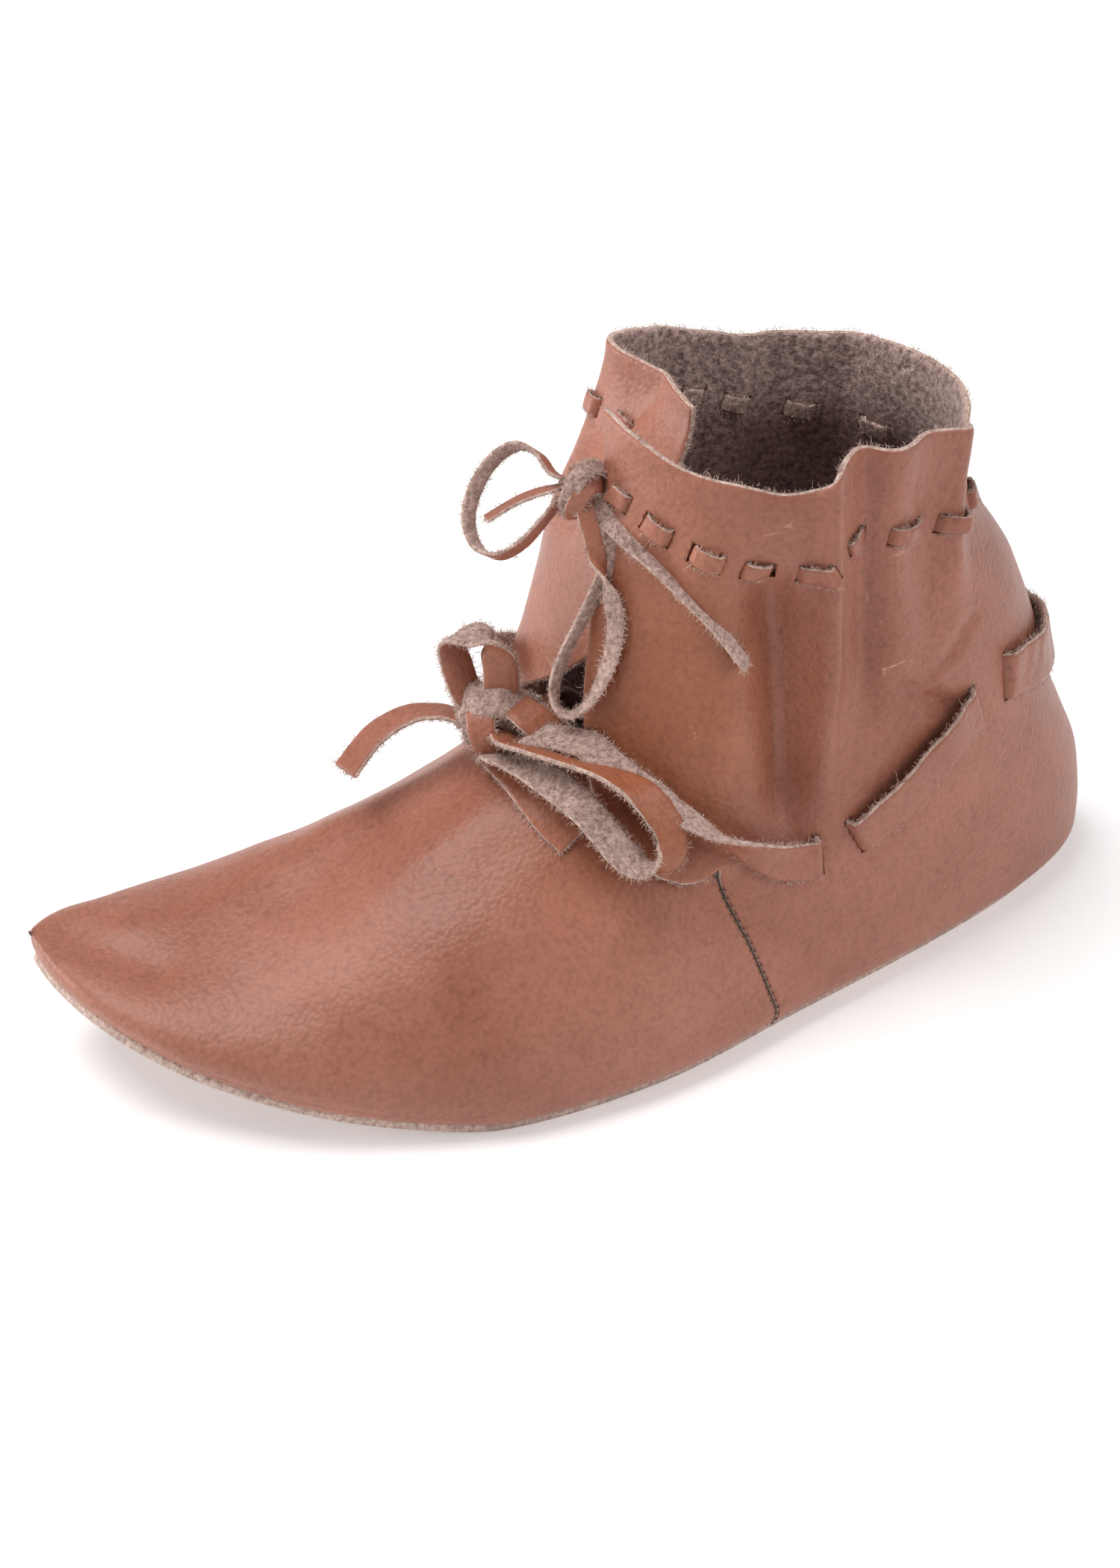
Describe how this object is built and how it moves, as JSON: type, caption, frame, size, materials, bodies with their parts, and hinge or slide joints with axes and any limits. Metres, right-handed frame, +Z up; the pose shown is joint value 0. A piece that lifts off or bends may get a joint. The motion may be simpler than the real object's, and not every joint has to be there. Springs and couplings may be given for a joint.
{
  "type": "ankle boot",
  "caption": "soft leather ankle boot for the left foot with overlapping front flaps, a thong below the collar and a strap round the instep and heel, both tied in bows",
  "frame": {"origin": "on the floor under the middle of the sole, at the rest mount", "axes": "+X to the toe, +Y to the outer side of the left foot, +Z up"},
  "size_m": [0.285, 0.1058, 0.1603],
  "materials": {
    "sole_leather": "matte",
    "upper_leather": "satin",
    "lace_leather": "matte"
  },
  "bodies": {
    "root": {"sole": "sole_leather", "upper": "upper_leather", "ankle_thong": "lace_leather", "ankle_knot": "lace_leather", "ankle_loop_front": "lace_leather", "ankle_loop_hanging": "lace_leather", "ankle_end_short": "lace_leather", "ankle_end_long": "lace_leather", "instep_strap": "lace_leather", "instep_knot": "lace_leather", "instep_loop_upright": "lace_leather", "instep_loop_right": "lace_leather", "instep_end_left": "lace_leather", "instep_end_right": "lace_leather"}
  },
  "joints": []
}
